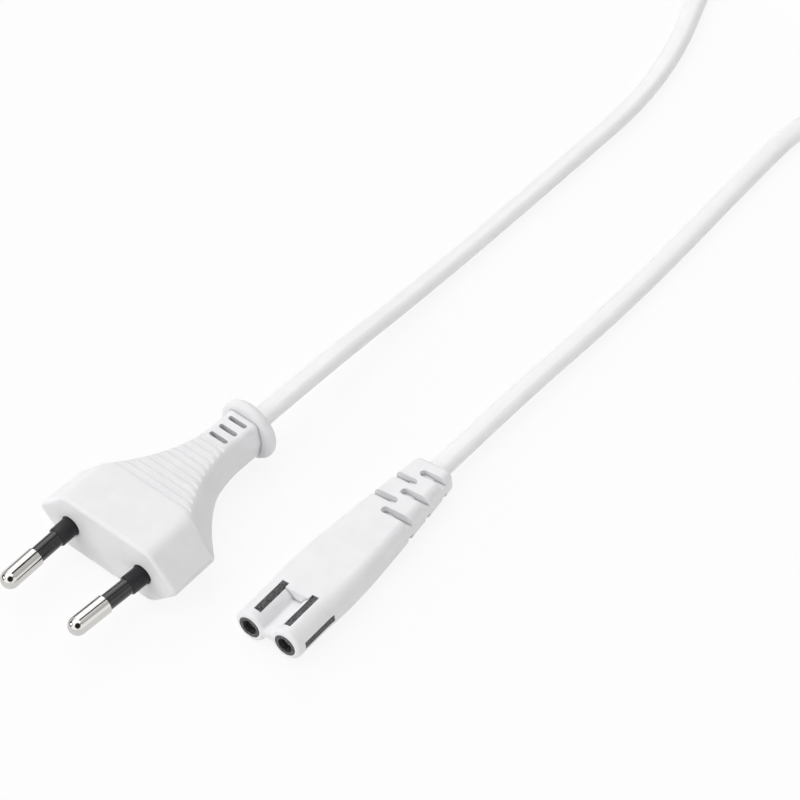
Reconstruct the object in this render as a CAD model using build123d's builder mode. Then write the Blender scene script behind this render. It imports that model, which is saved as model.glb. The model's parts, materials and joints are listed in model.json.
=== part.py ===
"""Mains lead: a flat two-pin plug and a figure-eight connector on a flat two-core cord.

Millimetres, +Z up, Z = 0 is the table. The plug lies on its broad side with its pins toward -Y.
The connector lies beside it, and the cord runs from both of them toward +Y to a tied coil.
"""
import os
from math import atan, cos, pi, radians, sin, tan

from build123d import *

os.makedirs("parts", exist_ok=True)

# Plug body
PLUG_X = -13.0           # middle of the plug
FACE_Y = -19.95          # front face of the plug
PLUG_W = 35.3            # over the two side ridges
PLUG_H = 13.7
NOSE_L = 11.3            # near-parallel part behind the face
NOSE_DRAFT = 0.35        # each side draws in over the nose
SHOULDER_L = 0.8         # rounded shoulder behind the nose
SHOULDER_IN = 0.5
WAIST_L = 22.0           # hollow sweep from the shoulder to the neck
NECK_W = 8.7             # over the neck's rounded sides
NECK_TOP_W = 7.0
NECK_H = 9.0
NECK_RISE = 0.5          # neck's middle above the nose's middle
NECK_L = 5.3
FLANGE_D = 13.4
FLANGE_L = 2.5
FLANGE_R = 1.2           # rounded rim of the flange
TIP_R = 1.2              # side ridges of the nose
NOSE_CORNER_R = 3.5
NECK_SIDE_R = 5.0
NECK_CORNER_R = 1.3
FACE_EDGE_R = 0.8
WAIST_STEPS = 8

# Grip grooves and strain-relief slots of the plug
GROOVES = 10
GROOVE_FIRST = 13.7      # behind the face
GROOVE_PITCH = 1.8
GROOVE_R = 0.6
GROOVE_DEPTH = 0.34
SLOTS = 3
SLOT_FIRST = 32.0        # behind the face
SLOT_PITCH = 2.75
SLOT_LONG = 4.5
SLOT_WIDE = 1.1
SLOT_LAP = 0.2           # slot's floor below the top of the cord

# Pins
PIN_D = 4.0
PIN_L = 19.0
PIN_GAP = 18.8           # between the pins' middles at the face
PIN_TIP_GAP = 17.5       # between the pins' middles at their tips
SHANK_D = 2.4            # under the sleeve and in the carrier
SLEEVE_D = 3.4
SLEEVE_END = 10.0        # end of the insulated length, from the face
COLLAR_D = 4.1
COLLAR_L = 4.0           # in front of the face
COLLAR_EDGE = 0.25
COLLAR_RELIEF = 0.2      # gap round a collar at the face
COLLAR_RELIEF_L = 0.4
CRIMP_D = 3.2
CRIMP_L = 5.0
WIRE_D = 1.1             # bare strands
WIRE_GRIP = 3.5          # length of the strands in a crimp

# Pin carrier moulded into the plug
BRIDGE_SKIN = 1.2        # plastic in front of the carrier
BRIDGE_L = 4.8
BRIDGE_END = 3.0         # beyond the pins' middles
BRIDGE_H = 6.4
BRIDGE_R = 1.0
FIT_GAP = 0.1            # between a crimp and the carrier in front of it

# Connector
NOSE_X = 22.95           # middle of the nose's face
NOSE_Y = -14.24
CONNECTOR_TURN = 3.2     # degrees, about Z
CONNECTOR_ROLL = 6.2     # degrees, lies tipped on its left lobe
CONNECTOR_PITCH = 0.5    # degrees, tail down
REST_L = 19.0            # from the nose to where it touches the table
HOLE_GAP = 8.6           # between the two contacts
LOBE_R = 3.45
WEB_H = 2.2              # between the lobes
WEB_R = 0.6
VALLEY_L = 9.6           # straight length of the valley between the lobes
VALLEY_END_R = 3.6       # bowl that ends the valley
BODY_CORNER_R = 3.4
BODY_STATIONS = ((20.0, 15.0, 6.7, 2.3), (31.0, 13.1, 6.4, 1.9), (42.0, 11.0, 5.8, 1.7))
TAIL_L = 52.6            # nose to cord exit
TAIL_W = 8.7
TAIL_H = 5.1
TAIL_CORNER_R = 1.5
TAIL_EDGE_R = 0.8
NOSE_EDGE_R = 0.8

# Windows over the contact carrier, slits of the strain relief
WINDOW_FROM = 2.0        # behind the nose's face
WINDOW_LONG = 8.8
WINDOW_WIDE = 1.6
WINDOW_SUNK = 0.12       # carrier's ribs below the lobe's surface
WINDOW_IN = 0.7          # from a lobe's middle toward the valley
SLITS = 5
SLIT_FIRST = 36.65       # middle of the first slit, behind the nose's face
SLIT_PITCH = 3.1         # right and left by turns
SLIT_WIDE = 1.7
SLIT_PAST = 0.7          # past the middle line
SLIT_STRIP = 2.0         # uncut strip along the side

# Contacts and their carrier
CARRIER_R = 2.4          # round each contact
CARRIER_L = 16.0
CARRIER_WEB_H = 1.0
CARRIER_WEB_FROM = 3.0
CONTACT_D = 3.2
CONTACT_BORE = 2.4
CONTACT_FROM = 1.4       # behind the nose's face
CONTACT_DEEP = 11.5      # depth of the bore from the nose's face
CONTACT_LEAD = 0.15      # slope of the contact's front edges
CONTACT_SPLIT = 0.5
CONTACT_SPLIT_L = 6.0
CONTACT_CRIMP = 3.5      # behind the carrier

# Flat two-core cord
CORD_W = 4.8
CORD_H = 2.9
CORE_D = 1.9
CORE_GAP = 2.0           # between the cores' middles in the jacket
CORE_LEAD = 3.0          # straight length at each end of a core
CORE_BEND_R = 3.0
PLUG_JACKET = 24.5       # jacket's end inside the plug, behind the face
CONNECTOR_JACKET = 31.0  # jacket's end inside the connector, behind the nose's face
TABLE_Z = 1.6            # cord's middle where it lies on the table
BEND_SHARE = 0.45        # of the shorter run beside a bend, taken up by its arc
PLUG_CORD_OUT = 58.0     # straight out of the plug to here, behind the face
PLUG_CORD = ((-16.2, 77.05), (-17.0, 119.05), (-18.0, 160.05))
PLUG_CORD_LAST = 25.5    # last run before the coil
CONNECTOR_CORD_OUT = 72.0
CONNECTOR_CORD = ((18.2, 101.0), (15.0, 140.0), (13.2, 172.0))
CONNECTOR_CORD_LAST = 21.5

# Coil of the put-away length and its tie
COIL_X = -2.5
COIL_Y = 238.0
TURN_R = 30.6            # middle of the outermost turn
TURN_PITCH = 3.05
TURNS = 3.25             # in each of two layers
COIL_SKIN = 0.15
COIL_EDGE_R = 1.4
ENTRY_IN = 1.0           # entering cord's middle, inside the coil's outline
TIE_T = 0.8
TIE_ARC = 8.0            # degrees

# Worked-out places
MID_Z = PLUG_H / 2
NECK_Z = MID_Z + NECK_RISE
SHOULDER_Y = NOSE_L + SHOULDER_L
NECK_Y = SHOULDER_Y + WAIST_L
FLANGE_Y = NECK_Y + NECK_L
PLUG_END = FLANGE_Y + FLANGE_L
PIN_LEAN = atan((PIN_GAP - PIN_TIP_GAP) / 2 / PIN_L)
CRIMP_FROM = BRIDGE_SKIN + BRIDGE_L + FIT_GAP
CRIMP_END = CRIMP_FROM + CRIMP_L
NOSE_Z = LOBE_R + HOLE_GAP / 2 * sin(radians(CONNECTOR_ROLL)) + REST_L * sin(radians(CONNECTOR_PITCH))
BODY_W = HOLE_GAP + 2 * LOBE_R
RIB_R = LOBE_R - WINDOW_SUNK
CONTACT_END = CARRIER_L + CONTACT_CRIMP
LOBES = ((-HOLE_GAP / 2, 0), (HOLE_GAP / 2, 0))
COIL_OUT = TURN_R + CORD_H / 2 + COIL_SKIN
COIL_IN = TURN_R - TURNS * TURN_PITCH - CORD_H / 2 - COIL_SKIN
COIL_H = 2 * CORD_W + 2 * COIL_SKIN
ENTRY_R = COIL_OUT - ENTRY_IN
ENTRY_L = (COIL_OUT**2 - (ENTRY_R - CORD_W / 2) ** 2) ** 0.5
ENTRY_Y = COIL_Y - ENTRY_L

COIL_AXIS = Axis((COIL_X, COIL_Y, 0), (0, 0, 1))

turn = radians(CONNECTOR_TURN)
roll = radians(CONNECTOR_ROLL)
pitch = radians(CONNECTOR_PITCH)
FACE = Plane(origin=(PLUG_X, FACE_Y, MID_Z), x_dir=(1, 0, 0), z_dir=(0, -1, 0))
NECK = Plane(origin=(PLUG_X, FACE_Y, NECK_Z), x_dir=(1, 0, 0), z_dir=(0, -1, 0))
NOSE = Plane(
    origin=(NOSE_X, NOSE_Y, NOSE_Z),
    x_dir=(
        cos(turn) * cos(roll) + sin(turn) * sin(pitch) * sin(roll),
        sin(turn) * cos(roll) - cos(turn) * sin(pitch) * sin(roll),
        cos(pitch) * sin(roll),
    ),
    z_dir=(sin(turn) * cos(pitch), -cos(turn) * cos(pitch), sin(pitch)),
)


def pin_plane(side):
    """Plane of a pin's profile: x runs out along the leaning pin, from the plug's face."""
    origin = (PLUG_X + side * PIN_GAP / 2, FACE_Y, MID_Z)
    return Plane(origin=origin, x_dir=(-side * sin(PIN_LEAN), -cos(PIN_LEAN), 0), z_dir=(0, 0, 1))


def turned(side, outline):
    """Solid of revolution about a pin's axis, from an outline of (along, radius) points."""
    plane = pin_plane(side)
    with BuildPart() as solid:
        with BuildSketch(plane):
            with BuildLine():
                Polyline(*outline, close=True)
            make_face()
        revolve(axis=Axis(plane.origin, plane.x_dir))
    return solid.part


def rod(side, start, end, radius):
    """Plain rod about a pin's axis."""
    return turned(side, [(start, 0), (end, 0), (end, radius), (start, radius)])


def eased(y, start, end):
    """Share of the nose's size that is left at y: 1 at the start, 0 at the end, a parabola between."""
    share = min(max((end - y) / (end - start), 0), 1)
    return share**2


def plug_half_height(y):
    """Half the plug's height at y behind its face: level on the nose, then a straight fall to the neck."""
    share = min(max((NECK_Y - y) / WAIST_L, 0), 1)
    return (NECK_H + (PLUG_H - NECK_H) * share) / 2


def plug_rise(y):
    """Height of the plug's middle above the nose's middle, at y behind its face."""
    return NECK_RISE * (1 - min(max((NECK_Y - y) / WAIST_L, 0), 1))


def plug_section(y):
    """Six-sided section of the plug at y behind its face, with ridges at mid-height."""
    share = min(max((NECK_Y - y) / WAIST_L, 0), 1)
    tip_r = NECK_SIDE_R + (TIP_R - NECK_SIDE_R) * share
    corner_r = NECK_CORNER_R + (NOSE_CORNER_R - NECK_CORNER_R) * share
    half_height = plug_half_height(y)
    nose_ridge = PLUG_W / 2 + TIP_R * (2**0.5 - 1) - NOSE_DRAFT * min(y / NOSE_L, 1)
    nose_top = nose_ridge - PLUG_H / 2
    neck_ridge = NECK_W / 2
    drop = SHOULDER_IN if y >= SHOULDER_Y else 0
    ridge = neck_ridge + (nose_ridge - drop - neck_ridge) * eased(y, SHOULDER_Y, NECK_Y)
    top = NECK_TOP_W / 2 + (nose_top - NECK_TOP_W / 2) * eased(y, SHOULDER_Y, NECK_Y - SHOULDER_L)
    middle = FACE.from_local_coords((0, plug_rise(y), -y))
    with BuildSketch(Plane(origin=middle, x_dir=FACE.x_dir, z_dir=FACE.z_dir)) as section:
        with BuildLine():
            Polyline(
                (ridge, 0),
                (top, half_height),
                (-top, half_height),
                (-ridge, 0),
                (-top, -half_height),
                (top, -half_height),
                close=True,
            )
        make_face()
        fillet(section.vertices().group_by(Axis.Y)[1], tip_r)
        levels = section.vertices().group_by(Axis.Y)
        fillet(levels[0] + levels[-1], corner_r)
    return section.sketch


def body_section(distance, width, height, corner):
    """Rounded section of the connector's body at a distance behind its nose."""
    with BuildSketch(NOSE.offset(-distance)) as section:
        RectangleRounded(width, height, corner)
    return section.sketch


def cord_section(plane):
    """Flat section of the cord's jacket."""
    with BuildSketch(plane) as section:
        SlotOverall(CORD_W, CORD_H)
    return section.sketch


def cord_tube(name, points, across):
    """Flat tube along straight runs joined by arcs as large as the runs allow."""
    points = [Vector(*point) for point in points]
    radii = []
    for before, here, after in zip(points, points[1:], points[2:]):
        bend = radians((here - before).get_angle(after - here))
        shorter = min((here - before).length, (after - here).length)
        radii.append(BEND_SHARE * shorter / tan(bend / 2))
    print(name, "radii", [round(radius, 1) for radius in radii])
    with BuildPart() as tube:
        with BuildLine():
            route = FilletPolyline(*points, radius=radii)
        sweep(sections=cord_section(Plane(origin=points[0], x_dir=across, z_dir=points[1] - points[0])))
    area = (CORD_W - CORD_H) * CORD_H + pi * CORD_H**2 / 4
    filled = tube.part.volume / (area * route.length)
    print(name, "length", round(route.length, 1), "volume / (section x length)", round(filled, 4))
    tube.part.label = name
    export_step(tube.part, f"parts/{name}.step")


def core(name, points):
    """One insulated core from a crimp to the end of the jacket."""
    with BuildPart() as wire:
        with BuildLine() as route:
            FilletPolyline(*points, radius=CORE_BEND_R)
        with BuildSketch(Plane(origin=route.line @ 0, z_dir=route.line % 0)):
            Circle(CORE_D / 2)
        sweep()
    wire.part.label = name
    export_step(wire.part, f"parts/{name}.step")
    return wire.part


# Pins with their sleeves and the strands in their crimps
plug_inside = []
for side, name, colour in ((-1, "left", "brown"), (1, "right", "blue")):
    plane = pin_plane(side)
    with BuildPart() as pin:
        with BuildSketch(plane):
            with BuildLine():
                Polyline(
                    (PIN_L - PIN_D / 2, PIN_D / 2),
                    (SLEEVE_END, PIN_D / 2),
                    (SLEEVE_END, SHANK_D / 2),
                    (-CRIMP_FROM, SHANK_D / 2),
                    (-CRIMP_FROM, CRIMP_D / 2),
                    (-CRIMP_END, CRIMP_D / 2),
                    (-CRIMP_END, WIRE_D / 2),
                    (WIRE_GRIP - CRIMP_END, WIRE_D / 2),
                    (WIRE_GRIP - CRIMP_END, 0),
                    (PIN_L, 0),
                )
                RadiusArc((PIN_L, 0), (PIN_L - PIN_D / 2, PIN_D / 2), -PIN_D / 2)
            make_face()
        revolve(axis=Axis(plane.origin, plane.x_dir))
    pin.part.label = f"{name}_pin"
    export_step(pin.part, f"parts/{name}_pin.step")

    sleeve_wall = [
        (COLLAR_L, SHANK_D / 2),
        (SLEEVE_END, SHANK_D / 2),
        (SLEEVE_END, SLEEVE_D / 2),
        (COLLAR_L, SLEEVE_D / 2),
    ]
    sleeve = turned(side, sleeve_wall)
    sleeve.label = f"{name}_pin_sleeve"
    export_step(sleeve, f"parts/{name}_pin_sleeve.step")

    strands = rod(side, -CRIMP_END, WIRE_GRIP - CRIMP_END, WIRE_D / 2)
    strands.label = f"plug_{colour}_strands"
    export_step(strands, f"parts/plug_{colour}_strands.step")

    crimp_mouth = plane.from_local_coords((-CRIMP_END, 0, 0))
    crimp_lead = plane.from_local_coords((-CRIMP_END - CORE_LEAD, 0, 0))
    jacket_lead = NECK.from_local_coords((side * CORE_GAP / 2, 0, -PLUG_JACKET + CORE_LEAD))
    jacket_end = NECK.from_local_coords((side * CORE_GAP / 2, 0, -PLUG_JACKET))
    wire = core(f"plug_{colour}_core", [crimp_mouth, crimp_lead, jacket_lead, jacket_end])
    plug_inside += [rod(side, -CRIMP_END, -BRIDGE_SKIN - BRIDGE_L / 2, CRIMP_D / 2), wire]

# Black carrier that spaces the pins and forms their collars
collar_outline = [
    (-BRIDGE_SKIN - BRIDGE_L / 2, 0),
    (COLLAR_L, 0),
    (COLLAR_L, COLLAR_D / 2 - COLLAR_EDGE),
    (COLLAR_L - COLLAR_EDGE, COLLAR_D / 2),
    (-BRIDGE_SKIN - BRIDGE_L / 2, COLLAR_D / 2),
]
collars = [turned(side, collar_outline) for side in (-1, 1)]
shanks = [rod(side, -CRIMP_END, PIN_L, SHANK_D / 2) for side in (-1, 1)]
with BuildPart() as pin_bridge:
    with BuildSketch(FACE.offset(-BRIDGE_SKIN)):
        RectangleRounded(PIN_GAP + 2 * BRIDGE_END, BRIDGE_H, BRIDGE_R)
    extrude(amount=-BRIDGE_L)
    add(collars)
    add(shanks, mode=Mode.SUBTRACT)
pin_bridge.part.label = "pin_bridge"
export_step(pin_bridge.part, "parts/pin_bridge.step")

# Cord from the plug to the coil
cord_tube(
    "cord_plug_side",
    [
        tuple(NECK.offset(-PLUG_JACKET).origin),
        tuple(NECK.offset(-PLUG_CORD_OUT).origin),
        *[(x, y, TABLE_Z) for x, y in PLUG_CORD],
        (COIL_X - ENTRY_R, ENTRY_Y - PLUG_CORD_LAST, TABLE_Z),
        (COIL_X - ENTRY_R, ENTRY_Y, TABLE_Z),
    ],
    FACE.x_dir,
)

# White plug moulded over all of that
plug_inside += [rod(side, -BRIDGE_SKIN - BRIDGE_L / 2, COLLAR_L, COLLAR_D / 2) for side in (-1, 1)]
plug_inside += [rod(side, -COLLAR_RELIEF_L, COLLAR_L, COLLAR_D / 2 + COLLAR_RELIEF) for side in (-1, 1)]
slot_places = [(PLUG_X, FACE_Y + SLOT_FIRST + SLOT_PITCH * step) for step in range(SLOTS)]
with BuildPart() as plug_body:
    loft(sections=[plug_section(y) for y in (0, NOSE_L, SHOULDER_Y)], ruled=True)
    waist = [SHOULDER_Y + WAIST_L * step / WAIST_STEPS for step in range(WAIST_STEPS + 1)]
    loft(sections=[plug_section(y) for y in waist])
    extrude(plug_section(NECK_Y), amount=-NECK_L - FLANGE_L / 2)
    face_edges = plug_body.faces().sort_by(Axis.Y)[0].edges()
    fillet(face_edges, FACE_EDGE_R)
    rim_plane = Plane(origin=NECK.offset(-FLANGE_Y).origin, x_dir=(0, 1, 0), z_dir=(0, 0, 1))
    with BuildSketch(rim_plane) as rim:
        Rectangle(FLANGE_L, FLANGE_D / 2, align=(Align.MIN, Align.MIN))
        fillet(rim.vertices().group_by(Axis.Y)[-1], FLANGE_R)
    revolve(axis=Axis(rim_plane.origin, rim_plane.x_dir))
    for step in range(GROOVES):
        y = GROOVE_FIRST + GROOVE_PITCH * step
        for up in (-1, 1):
            height = plug_rise(y) + up * (plug_half_height(y) - GROOVE_DEPTH + GROOVE_R)
            with BuildSketch(Plane.YZ.offset(PLUG_X)):
                with Locations((FACE_Y + y, MID_Z + height)):
                    Circle(GROOVE_R)
            extrude(amount=PLUG_W / 2, both=True, mode=Mode.SUBTRACT)
    for up in (-1, 1):
        with BuildSketch(Plane.XY.offset(NECK_Z + up * (CORD_H / 2 - SLOT_LAP))):
            with Locations(slot_places):
                SlotOverall(SLOT_LONG, SLOT_WIDE)
        extrude(amount=up * PLUG_H, mode=Mode.SUBTRACT)
    with BuildSketch(FACE.offset(-BRIDGE_SKIN)):
        RectangleRounded(PIN_GAP + 2 * BRIDGE_END, BRIDGE_H, BRIDGE_R)
    extrude(amount=-BRIDGE_L, mode=Mode.SUBTRACT)
    add(plug_inside, mode=Mode.SUBTRACT)
    extrude(cord_section(NECK.offset(-PLUG_JACKET)), amount=-PLUG_END, mode=Mode.SUBTRACT)
plug_body.part.label = "plug_body"
export_step(plug_body.part, "parts/plug_body.step")

# Contacts, their strands and cores
connector_inside = []
for side, name, colour in ((-1, "left", "blue"), (1, "right", "brown")):
    with BuildPart() as contact:
        with BuildSketch(NOSE.offset(-CONTACT_FROM)):
            with Locations((side * HOLE_GAP / 2, 0)):
                Circle(CONTACT_D / 2)
        extrude(amount=CONTACT_FROM - CONTACT_END)
        with BuildSketch(NOSE.offset(-CONTACT_FROM)):
            with Locations((side * HOLE_GAP / 2, 0)):
                Circle(CONTACT_BORE / 2)
        extrude(amount=CONTACT_FROM - CONTACT_DEEP, mode=Mode.SUBTRACT)
        chamfer(contact.faces().sort_by(Axis.Y)[0].edges(), CONTACT_LEAD)
        with BuildSketch(NOSE.offset(-CONTACT_FROM)):
            with Locations((side * HOLE_GAP / 2, 0)):
                Rectangle(CONTACT_SPLIT, CONTACT_D)
        extrude(amount=-CONTACT_SPLIT_L, mode=Mode.SUBTRACT)
        with BuildSketch(NOSE.offset(-CONTACT_END)):
            with Locations((side * HOLE_GAP / 2, 0)):
                Circle(WIRE_D / 2)
        extrude(amount=WIRE_GRIP, mode=Mode.SUBTRACT)
    contact.part.label = f"{name}_contact"
    export_step(contact.part, f"parts/{name}_contact.step")

    with BuildPart() as strands:
        with BuildSketch(NOSE.offset(-CONTACT_END)):
            with Locations((side * HOLE_GAP / 2, 0)):
                Circle(WIRE_D / 2)
        extrude(amount=WIRE_GRIP)
    strands.part.label = f"connector_{colour}_strands"
    export_step(strands.part, f"parts/connector_{colour}_strands.step")

    wire_points = [
        (side * HOLE_GAP / 2, 0, -CONTACT_END),
        (side * HOLE_GAP / 2, 0, -CONTACT_END - CORE_LEAD),
        (side * CORE_GAP / 2, 0, -CONNECTOR_JACKET + CORE_LEAD),
        (side * CORE_GAP / 2, 0, -CONNECTOR_JACKET),
    ]
    wire = core(f"connector_{colour}_core", [NOSE.from_local_coords(point) for point in wire_points])
    connector_inside.append(wire)

# Black carrier round the contacts
with BuildPart() as contact_carrier:
    with BuildSketch(NOSE):
        with Locations(*LOBES):
            Circle(CARRIER_R)
    extrude(amount=-CARRIER_L)
    with BuildSketch(NOSE.offset(-CARRIER_WEB_FROM)):
        Rectangle(HOLE_GAP, CARRIER_WEB_H)
    extrude(amount=CARRIER_WEB_FROM - CARRIER_L)
    for side in (-1, 1):
        with BuildSketch(NOSE.offset(-WINDOW_FROM)):
            with Locations((side * (HOLE_GAP / 2 - WINDOW_IN), 0)):
                Rectangle(WINDOW_WIDE, 2 * LOBE_R)
            with Locations((side * (HOLE_GAP + LOBE_R) / 2, 0)):
                Rectangle(LOBE_R, WINDOW_WIDE)
            with Locations((side * HOLE_GAP / 2, 0)):
                Circle(RIB_R, mode=Mode.INTERSECT)
        extrude(amount=-WINDOW_LONG)
    with BuildSketch(NOSE):
        with Locations(*LOBES):
            Circle(CONTACT_D / 2)
    extrude(amount=-CARRIER_L, mode=Mode.SUBTRACT)
contact_carrier.part.label = "contact_carrier"
export_step(contact_carrier.part, "parts/contact_carrier.step")

# Cord from the connector to the coil
cord_tube(
    "cord_connector_side",
    [
        tuple(NOSE.offset(-CONNECTOR_JACKET).origin),
        tuple(NOSE.offset(-CONNECTOR_CORD_OUT).origin),
        *[(x, y, TABLE_Z) for x, y in CONNECTOR_CORD],
        (COIL_X + ENTRY_R, ENTRY_Y - CONNECTOR_CORD_LAST, TABLE_Z),
        (COIL_X + ENTRY_R, ENTRY_Y, TABLE_Z),
    ],
    NOSE.x_dir,
)

# Cutter for the slits of the strain relief, right and left by turns, which reach the jacket
with BuildPart() as slits:
    for up in (-1, 1):
        plan_origin = NOSE.from_local_coords((0, up * SLIT_STRIP / 2, 0))
        with BuildSketch(Plane(origin=plan_origin, x_dir=NOSE.x_dir, z_dir=NOSE.y_dir)):
            for step in range(SLITS):
                side = 1 if step % 2 == 0 else -1
                with Locations((side * (BODY_W / 2 - SLIT_PAST), SLIT_FIRST + SLIT_PITCH * step)):
                    SlotOverall(BODY_W, SLIT_WIDE)
        extrude(amount=up * LOBE_R)

# White connector moulded over the carrier, the cores and the jacket
stations = [
    (VALLEY_L, BODY_W, 2 * LOBE_R, BODY_CORNER_R),
    *BODY_STATIONS,
    (TAIL_L, TAIL_W, TAIL_H, TAIL_CORNER_R),
]
with BuildPart() as connector_body:
    with BuildSketch(NOSE) as nose_outline:
        with Locations(*LOBES):
            Circle(LOBE_R)
        Rectangle(HOLE_GAP, WEB_H)
        fillet(nose_outline.vertices(), WEB_R)
    extrude(amount=-VALLEY_L)
    fillet(connector_body.faces().sort_by(Axis.Y)[0].edges(), NOSE_EDGE_R)
    loft(sections=[body_section(*station) for station in stations])
    fillet(connector_body.faces().sort_by(Axis.Y)[-1].edges(), TAIL_EDGE_R)
    for up in (-1, 1):
        with BuildSketch(NOSE.offset(-VALLEY_L)):
            with Locations((VALLEY_END_R / 2, up * (WEB_H + LOBE_R) / 2)):
                Rectangle(VALLEY_END_R, LOBE_R)
            with Locations((HOLE_GAP / 2, 0)):
                Circle(LOBE_R, mode=Mode.SUBTRACT)
        revolve(axis=Axis(NOSE.offset(-VALLEY_L).origin, NOSE.y_dir), mode=Mode.SUBTRACT)
    for up in (-1, 1):
        with BuildSketch(NOSE.offset(-WINDOW_FROM)):
            with Locations([(side * (HOLE_GAP / 2 - WINDOW_IN), up * LOBE_R) for side in (-1, 1)]):
                Rectangle(WINDOW_WIDE, 2 * (LOBE_R - CARRIER_R / 2))
        extrude(amount=-WINDOW_LONG, mode=Mode.SUBTRACT)
    with BuildSketch(NOSE.offset(-WINDOW_FROM)):
        with Locations((-BODY_W / 2, 0), (BODY_W / 2, 0)):
            Rectangle(2 * (LOBE_R - CARRIER_R / 2), WINDOW_WIDE)
    extrude(amount=-WINDOW_LONG, mode=Mode.SUBTRACT)
    add(slits.part, mode=Mode.SUBTRACT)
    with BuildSketch(NOSE):
        with Locations(*LOBES):
            Circle(CARRIER_R)
    extrude(amount=-CARRIER_L, mode=Mode.SUBTRACT)
    with BuildSketch(NOSE.offset(-CARRIER_WEB_FROM)):
        Rectangle(HOLE_GAP, CARRIER_WEB_H)
    extrude(amount=CARRIER_WEB_FROM - CARRIER_L, mode=Mode.SUBTRACT)
    with BuildSketch(NOSE.offset(-CARRIER_L)):
        with Locations(*LOBES):
            Circle(CONTACT_D / 2)
    extrude(amount=CARRIER_L - CONTACT_END, mode=Mode.SUBTRACT)
    add(connector_inside, mode=Mode.SUBTRACT)
    extrude(cord_section(NOSE.offset(-CONNECTOR_JACKET)), amount=-TAIL_L, mode=Mode.SUBTRACT)
connector_body.part.label = "connector_body"
export_step(connector_body.part, "parts/connector_body.step")

# Coil of the put-away length, with the two stretches where the cord joins it
with BuildPart() as cord_coil:
    with BuildSketch(Plane.XZ.offset(-COIL_Y)):
        with Locations((COIL_X + (COIL_IN + COIL_OUT) / 2, TIE_T + COIL_H / 2)):
            RectangleRounded(COIL_OUT - COIL_IN, COIL_H, COIL_EDGE_R)
    revolve(axis=COIL_AXIS)
    for side in (-1, 1):
        entry = Plane(origin=(COIL_X + side * ENTRY_R, ENTRY_Y, TABLE_Z), x_dir=(1, 0, 0), z_dir=(0, 1, 0))
        extrude(cord_section(entry), amount=ENTRY_L)
cord_coil.part.label = "cord_coil"
export_step(cord_coil.part, "parts/cord_coil.step")

# Flat tie round the coil on its far side
tie_plane = Plane(
    origin=(COIL_X, COIL_Y, 0),
    x_dir=(sin(radians(TIE_ARC / 2)), cos(radians(TIE_ARC / 2)), 0),
    z_dir=(cos(radians(TIE_ARC / 2)), -sin(radians(TIE_ARC / 2)), 0),
)
with BuildPart() as cord_tie:
    with BuildSketch(tie_plane):
        with Locations(((COIL_IN + COIL_OUT) / 2, TIE_T + COIL_H / 2)):
            RectangleRounded(COIL_OUT - COIL_IN + 2 * TIE_T, COIL_H + 2 * TIE_T, COIL_EDGE_R + TIE_T)
            RectangleRounded(COIL_OUT - COIL_IN, COIL_H, COIL_EDGE_R, mode=Mode.SUBTRACT)
    revolve(axis=COIL_AXIS, revolution_arc=TIE_ARC)
cord_tie.part.label = "cord_tie"
export_step(cord_tie.part, "parts/cord_tie.step")
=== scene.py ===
"""White mains lead with a flat two-pin plug and a figure-eight connector, in a white studio.

Metres, in the same frame as the solids: +Z up, the table at Z = 0, the pins toward -Y.
"""
import json
from math import cos, pi, radians, sin

import bpy
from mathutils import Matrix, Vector


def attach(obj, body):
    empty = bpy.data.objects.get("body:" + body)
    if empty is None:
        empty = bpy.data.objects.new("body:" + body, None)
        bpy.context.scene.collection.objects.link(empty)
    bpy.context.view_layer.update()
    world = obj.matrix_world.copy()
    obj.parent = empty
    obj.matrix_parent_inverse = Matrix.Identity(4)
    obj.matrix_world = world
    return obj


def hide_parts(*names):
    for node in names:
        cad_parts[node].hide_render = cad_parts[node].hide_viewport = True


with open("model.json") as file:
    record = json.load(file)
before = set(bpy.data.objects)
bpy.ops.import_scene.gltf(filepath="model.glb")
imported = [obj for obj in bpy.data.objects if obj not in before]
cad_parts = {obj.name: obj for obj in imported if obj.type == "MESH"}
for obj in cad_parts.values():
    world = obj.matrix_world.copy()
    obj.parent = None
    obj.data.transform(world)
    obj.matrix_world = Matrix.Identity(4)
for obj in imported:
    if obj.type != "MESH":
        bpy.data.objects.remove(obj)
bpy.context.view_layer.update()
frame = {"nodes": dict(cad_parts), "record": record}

MM = 0.001

# Camera, fitted to the standard sizes of the plug and the connector in the photograph
CAMERA_AT = (332.56, -338.44, 547.95)
CAMERA_TO = (0.03, 51.01, 0.0)
LENS = 168.6
SENSOR = 36.0

# Flat cord: sizes and route as in the solids, in millimetres; the fourth number is its roll in degrees
CORD_W = 4.8
CORD_H = 2.9
PLUG_ROUTE = (
    (-13.0, 4.55, 7.35, 0.0),
    (-13.0, 38.05, 8.2, 4.0),
    (-15.85, 77.05, 1.8, 22.0),
    (-16.3, 119.05, 1.8, 22.0),
    (-17.2, 160.05, 1.75, 12.0),
    (-33.7, 198.1, 1.6, 0.0),
)
PLUG_ENTRY = (-33.7, 223.6, 2.4)
CONNECTOR_ENTRY = (28.7, 223.6, 5.2)
CONNECTOR_ROUTE = (
    (28.7, 202.1, 1.6, 0.0),
    (13.2, 172.0, 1.6, 0.0),
    (15.3, 140.0, 1.65, 4.0),
    (18.2, 101.0, 1.65, 6.2),
    (18.93, 57.65, 3.45, 6.2),
    (21.22, 16.71, 3.81, 6.2),
)

# Coil of the put-away length, in millimetres
COIL_X = -2.5
COIL_Y = 238.0
TURN_R = 30.6            # middle of the outermost turn
TURN_PITCH = 3.05
TURNS = 3.25             # in each of two layers
TURN_POINTS = 16
LOW_LAYER_Z = 3.35
HIGH_LAYER_Z = 8.15
CLIMB_TURN = 0.3         # part of a turn that climbs to the upper layer

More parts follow.
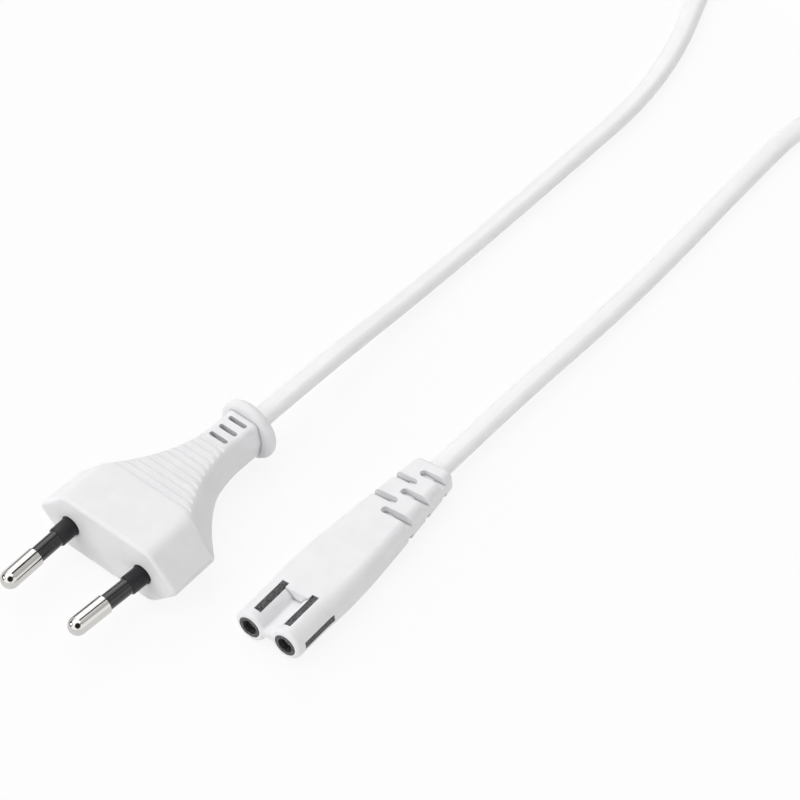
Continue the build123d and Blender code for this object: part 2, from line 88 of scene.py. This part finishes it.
# Plastic, in metres
CLOUD = 0.004            # size of the paler and darker clouds in its colour
CLOUD_EDGES = (0.32, 0.68)
GLOSS_PATCH = 0.0015
GRAIN = 0.00025
GRAIN_DEPTH = 0.00006

# Painted shade in recesses: reach in metres, openness where it is darkest, openness where it ends, dimmest
# share
RECESS_SHADE = (
    (0.0014, 0.2, 0.5, 0.27),
    (0.0005, 0.75, 0.97, 0.75),
)

# Plated metal, in metres
TARNISH = 0.002          # size of the patches in its colour
POLISH = 0.0008          # size of the patches in its gloss
MARK_STRENGTH = 0.04
MARK_DEPTH = 0.00002

# Floor and key light, in metres and watts
FLOOR_REACH = 4.0        # from the middle to each side
FLOOR_WHITE = 0.88       # share of plain white in what is seen of the floor
KEY_TOWARD = (-0.75, -0.75, 0.4)
KEY_DISTANCE = 1.2
KEY_SIZE = 0.22
KEY_POWER = 1.8

# Surroundings: brightness all round, then patches with direction, half angle, soft edge and brightness
SKY_LEVEL = 0.03
SKY_PATCHES = (
    ((0.97, -0.05, 0.15), 38.0, 10.0, 1.26),
    ((0.15, -1.0, 0.2), 36.0, 8.0, 1.45),
    ((-0.15, -0.15, 1.0), 43.0, 8.0, 1.82),
    ((0.47, 0.52, 0.71), 14.0, 6.0, 0.75),
    ((0.02, 0.52, 0.855), 11.0, 3.0, 0.05),
    ((-0.97, 0.05, 0.2), 18.0, 6.0, 0.7),
    ((-0.65, 0.52, 0.55), 21.0, 3.0, 1.25),
    ((-0.6, 0.52, 0.6), 8.0, 3.0, 3.5),
    ((-0.42, -0.48, 0.76), 10.0, 2.0, 1.8),
    ((0.5, -0.48, 0.72), 32.0, 5.0, 0.03),
)


def millimetres(*point):
    """A point given in millimetres, as a vector in metres."""
    return Vector(point) * MM


# Materials
def new_material(name, color, roughness, metallic=0.0):
    """Material with one principled shader, and that shader."""
    material = bpy.data.materials.new(name)
    material.use_nodes = True
    shader = material.node_tree.nodes["Principled BSDF"]
    shader.inputs["Base Color"].default_value = (*color, 1.0)
    shader.inputs["Roughness"].default_value = roughness
    shader.inputs["Metallic"].default_value = metallic
    return material, shader


def node(material, kind, **inputs):
    """New shader node with some of its input values set."""
    made = material.node_tree.nodes.new(kind)
    for name, value in inputs.items():
        made.inputs[name].default_value = value
    return made


def place(material):
    """Object coordinates, in metres in the row frame."""
    return node(material, "ShaderNodeTexCoord").outputs["Object"]


def noise(material, where, size):
    """Noise whose features are about size metres across."""
    made = node(material, "ShaderNodeTexNoise", Scale=1 / size, Detail=3.0, Roughness=0.5)
    material.node_tree.links.new(where, made.inputs["Vector"])
    return made.outputs["Fac"]


def spread(material, value, low, high, start=0.0, stop=1.0):
    """Value from start to stop, spread from low to high."""
    made = node(material, "ShaderNodeMapRange")
    made.inputs["From Min"].default_value = start
    made.inputs["From Max"].default_value = stop
    made.inputs["To Min"].default_value = low
    made.inputs["To Max"].default_value = high
    material.node_tree.links.new(value, made.inputs["Value"])
    return made.outputs["Result"]


def tinted(material, value, first, second):
    """Colour between two colours, by a value from 0 to 1."""
    made = node(material, "ShaderNodeMix")
    made.data_type = "RGBA"
    colors = [socket for socket in made.inputs if socket.type == "RGBA"]
    colors[0].default_value = (*first, 1.0)
    colors[1].default_value = (*second, 1.0)
    material.node_tree.links.new(value, made.inputs["Factor"])
    return [socket for socket in made.outputs if socket.type == "RGBA"][0]


def bumped(material, shader, height, strength, depth):
    """Surface relief from a height value; depth is in metres."""
    made = node(material, "ShaderNodeBump", Strength=strength, Distance=depth)
    material.node_tree.links.new(height, made.inputs["Height"])
    material.node_tree.links.new(made.outputs["Normal"], shader.inputs["Normal"])


def with_painted_shade(material, color):
    """Colour with painted shade in the recesses: one size for slots and slits, a finer one for grooves."""
    for reach, deep, open_air, dimmest in RECESS_SHADE:
        recess = node(material, "ShaderNodeAmbientOcclusion", Distance=reach)
        scaled = node(material, "ShaderNodeVectorMath")
        scaled.operation = "SCALE"
        material.node_tree.links.new(color, scaled.inputs[0])
        share = spread(material, recess.outputs["AO"], dimmest, 1.0, deep, open_air)
        material.node_tree.links.new(share, scaled.inputs["Scale"])
        color = scaled.outputs[0]
    return color


def moulded_plastic(name, dark, light, smooth, rough, grain, cloud=CLOUD, painted_shade=False):
    """Moulded plastic: slightly cloudy colour, uneven gloss and a fine eroded grain."""
    material, shader = new_material(name, light, rough)
    links = material.node_tree.links
    where = place(material)
    clouds = spread(material, noise(material, where, cloud), 0.0, 1.0, *CLOUD_EDGES)
    color = tinted(material, clouds, dark, light)
    # When asked, painted shade darkens the colour in the recesses by ambient occlusion
    links.new(with_painted_shade(material, color) if painted_shade else color, shader.inputs["Base Color"])
    gloss = spread(material, noise(material, where, GLOSS_PATCH), smooth, rough)
    links.new(gloss, shader.inputs["Roughness"])
    bumped(material, shader, noise(material, where, GRAIN), grain, GRAIN_DEPTH)
    return material


def plated_metal(name, dark, light, smooth, rough, along, pitch):
    """Plated metal with fine turning marks across the along axis."""
    material, shader = new_material(name, light, rough, metallic=1.0)
    links = material.node_tree.links
    where = place(material)
    color = tinted(material, noise(material, where, TARNISH), dark, light)
    links.new(color, shader.inputs["Base Color"])
    gloss = spread(material, noise(material, where, POLISH), smooth, rough)
    links.new(gloss, shader.inputs["Roughness"])
    marks = node(material, "ShaderNodeTexWave", Scale=1 / pitch, Distortion=1.5, Detail=2.0)
    marks.bands_direction = along
    links.new(where, marks.inputs["Vector"])
    bumped(material, shader, marks.outputs["Fac"], MARK_STRENGTH, MARK_DEPTH)
    return material


# Named for a slot of the record, or for the one node that wears it
MATERIALS = {
    # White plastic carries painted shade in its slots, slits and grooves
    "white_plastic": moulded_plastic(
        "white_plastic", (0.85, 0.848, 0.86), (0.88, 0.878, 0.89), 0.36, 0.48, 0.25, painted_shade=True
    ),
    "black_plastic": moulded_plastic(
        "black_plastic", (0.015, 0.015, 0.017), (0.135, 0.135, 0.138), 0.34, 0.5, 0.5, cloud=0.0004
    ),
    "pin_bridge": moulded_plastic(
        "pin_bridge", (0.01, 0.01, 0.012), (0.024, 0.024, 0.026), 0.3, 0.45, 0.3
    ),
    "pin_sleeve": moulded_plastic(
        "pin_sleeve", (0.01, 0.01, 0.012), (0.018, 0.018, 0.02), 0.12, 0.2, 0.2
    ),
    "nickel": plated_metal(
        "nickel", (0.57, 0.56, 0.54), (0.66, 0.65, 0.63), 0.05, 0.11, "Y", 0.0002
    ),
    # Contact metal darkened well below brass as painted shade, so the socket holes read dark
    "contact_metal": plated_metal(
        "contact_metal", (0.12, 0.115, 0.105), (0.2, 0.19, 0.175), 0.2, 0.3, "Y", 0.0002
    ),
    "brown_core": moulded_plastic(
        "brown_core", (0.16, 0.07, 0.03), (0.2, 0.09, 0.04), 0.35, 0.5, 0.2
    ),
    "blue_core": moulded_plastic(
        "blue_core", (0.04, 0.16, 0.45), (0.05, 0.2, 0.55), 0.35, 0.5, 0.2
    ),
    "copper": plated_metal(
        "copper", (0.7, 0.34, 0.18), (0.82, 0.44, 0.26), 0.25, 0.4, "X", 0.0003
    ),
    "cord_jacket": moulded_plastic(
        "cord_jacket", (0.89, 0.889, 0.895), (0.915, 0.914, 0.92), 0.3, 0.42, 0.15
    ),
    "tie": moulded_plastic(
        "tie", (0.03, 0.03, 0.033), (0.05, 0.05, 0.055), 0.4, 0.55, 0.3
    ),
}

# Lacquered sleeves, dull black plastic, and a soft jacket that lets some light through
FINISHES = {
    "pin_sleeve": {"Coat Weight": 0.15, "Coat Roughness": 0.12},
    "black_plastic": {"Specular IOR Level": 0.3},
    "pin_bridge": {"Specular IOR Level": 0.3},
    "cord_jacket": {
        "Subsurface Weight": 0.3,
        "Subsurface Radius": (1.0, 1.0, 1.0),
        "Subsurface Scale": 0.0015,
    },
}


def set_finishes():
    """Sets what some materials have beyond colour, gloss and relief."""
    for name, values in FINISHES.items():
        inputs = MATERIALS[name].node_tree.nodes["Principled BSDF"].inputs
        for socket, value in values.items():
            inputs[socket].default_value = value


def paint_nodes():
    """Gives each CAD node a material of its own, or else that of its slot in the record."""
    for subpart in frame["record"]["subparts"]:
        piece = frame["nodes"][subpart["node"]]
        piece.data.materials.clear()
        piece.data.materials.append(MATERIALS.get(subpart["node"], MATERIALS[subpart["material_slot"]]))


# Cord
def coil_points():
    """Control points of the coil, clockwise from above: inward in the lower layer, outward in the upper."""
    points = []
    steps = round(TURNS * TURN_POINTS)
    reach = 1 / cos(pi / TURN_POINTS)
    for step in range(2 * steps + 1):
        turned = step / TURN_POINTS
        inward = turned if step <= steps else 2 * TURNS - turned
        radius = (TURN_R - TURN_PITCH * inward) * reach
        climbed = min(max((turned - TURNS) / CLIMB_TURN, 0), 1)
        angle = pi - 2 * pi * turned
        height = LOW_LAYER_Z + (HIGH_LAYER_Z - LOW_LAYER_Z) * climbed
        points.append((COIL_X + radius * cos(angle), COIL_Y + radius * sin(angle), height))
    return points


def make_cord():
    """Flat cord on one smooth spline, flat on the table and on edge in its coil."""
    flat = pi / 2
    route = [((x, y, z), flat - radians(roll)) for x, y, z, roll in PLUG_ROUTE]
    route.append((PLUG_ENTRY, flat / 2))
    route += [(point, 0.0) for point in coil_points()]
    route.append((CONNECTOR_ENTRY, flat / 2))
    route += [((x, y, z), flat + radians(roll)) for x, y, z, roll in CONNECTOR_ROUTE]

    curve = bpy.data.curves.new("cord", "CURVE")
    curve.dimensions = "3D"
    curve.fill_mode = "FULL"
    curve.twist_mode = "Z_UP"
    curve.resolution_u = 8
    curve.extrude = (CORD_W - CORD_H) / 2 * MM
    curve.bevel_depth = CORD_H / 2 * MM
    curve.bevel_resolution = 5
    curve.use_fill_caps = True
    spline = curve.splines.new("NURBS")
    spline.points.add(len(route) - 1)
    for target, (point, tilt) in zip(spline.points, route):
        target.co = (*millimetres(*point), 1.0)
        target.tilt = tilt
    spline.order_u = 3
    spline.use_endpoint_u = True
    cord = bpy.data.objects.new("cord", curve)
    bpy.context.collection.objects.link(cord)
    curve.materials.append(MATERIALS["cord_jacket"])
    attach(cord, "root")
    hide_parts("cord_plug_side", "cord_connector_side", "cord_coil")


# Studio
def make_camera():
    """Camera at the photograph's viewing angle."""
    camera = bpy.data.objects.new("camera", bpy.data.cameras.new("camera"))
    bpy.context.collection.objects.link(camera)
    camera.data.sensor_width = SENSOR
    camera.data.lens = LENS
    camera.location = millimetres(*CAMERA_AT)
    aim = millimetres(*CAMERA_TO) - camera.location
    camera.rotation_euler = aim.to_track_quat("-Z", "Y").to_euler()
    bpy.context.scene.camera = camera


def make_floor():
    """Floor that is mostly plain white where it is seen, and keeps a faint shadow of the lead."""
    mesh = bpy.data.meshes.new("floor")
    corners = [
        (-FLOOR_REACH, -FLOOR_REACH, 0),
        (FLOOR_REACH, -FLOOR_REACH, 0),
        (FLOOR_REACH, FLOOR_REACH, 0),
        (-FLOOR_REACH, FLOOR_REACH, 0),
    ]
    mesh.from_pydata(corners, [], [(0, 1, 2, 3)])
    floor = bpy.data.objects.new("floor", mesh)
    bpy.context.collection.objects.link(floor)
    material, shader = new_material("floor", (0.9, 0.9, 0.9), 0.9)
    links = material.node_tree.links
    white = node(material, "ShaderNodeEmission", Strength=1.0)
    rays = node(material, "ShaderNodeLightPath").outputs
    seen = rays["Is Camera Ray"]
    for ray in ("Is Glossy Ray", "Is Transmission Ray"):
        either = node(material, "ShaderNodeMath")
        either.operation = "MAXIMUM"
        links.new(seen, either.inputs[0])
        links.new(rays[ray], either.inputs[1])
        seen = either.outputs[0]
    mixed = node(material, "ShaderNodeMixShader")
    links.new(spread(material, seen, 0.0, FLOOR_WHITE), mixed.inputs["Fac"])
    links.new(shader.outputs["BSDF"], mixed.inputs[1])
    links.new(white.outputs["Emission"], mixed.inputs[2])
    links.new(mixed.outputs["Shader"], material.node_tree.nodes["Material Output"].inputs["Surface"])
    mesh.materials.append(material)


def make_key():
    """Square soft light from the front left, aimed at the middle of the frame."""
    lamp = bpy.data.lights.new("key", "AREA")
    lamp.shape = "SQUARE"
    lamp.size = KEY_SIZE
    lamp.energy = KEY_POWER
    light = bpy.data.objects.new("key", lamp)
    bpy.context.collection.objects.link(light)
    light.location = Vector(KEY_TOWARD).normalized() * KEY_DISTANCE
    light.rotation_euler = (-light.location).to_track_quat("-Z", "Y").to_euler()


def make_world():
    """Dark surroundings with soft patches, each over those before it, which light the lead."""
    world = bpy.data.worlds.new("studio")
    world.use_nodes = True
    nodes = world.node_tree.nodes
    links = world.node_tree.links
    toward = nodes.new("ShaderNodeTexCoord").outputs["Generated"]
    level = nodes.new("ShaderNodeValue").outputs["Value"]
    level.default_value = SKY_LEVEL
    for direction, half_angle, soft, patch_level in SKY_PATCHES:
        near = nodes.new("ShaderNodeVectorMath")
        near.operation = "DOT_PRODUCT"
        near.inputs[1].default_value = Vector(direction).normalized()
        links.new(toward, near.inputs[0])
        share = nodes.new("ShaderNodeMapRange")
        share.interpolation_type = "SMOOTHSTEP"
        share.inputs["From Min"].default_value = cos(radians(half_angle + soft))
        share.inputs["From Max"].default_value = cos(radians(half_angle - soft))
        links.new(near.outputs["Value"], share.inputs["Value"])
        mixed = nodes.new("ShaderNodeMix")
        links.new(share.outputs["Result"], mixed.inputs["Factor"])
        links.new(level, mixed.inputs["A"])
        mixed.inputs["B"].default_value = patch_level
        level = mixed.outputs["Result"]
    links.new(level, nodes["Background"].inputs["Strength"])
    nodes["Background"].inputs["Color"].default_value = (1.0, 1.0, 1.0, 1.0)
    bpy.context.scene.world = world


set_finishes()
paint_nodes()
make_cord()
make_camera()
make_floor()
make_world()
make_key()
bpy.context.scene.view_settings.view_transform = "Standard"
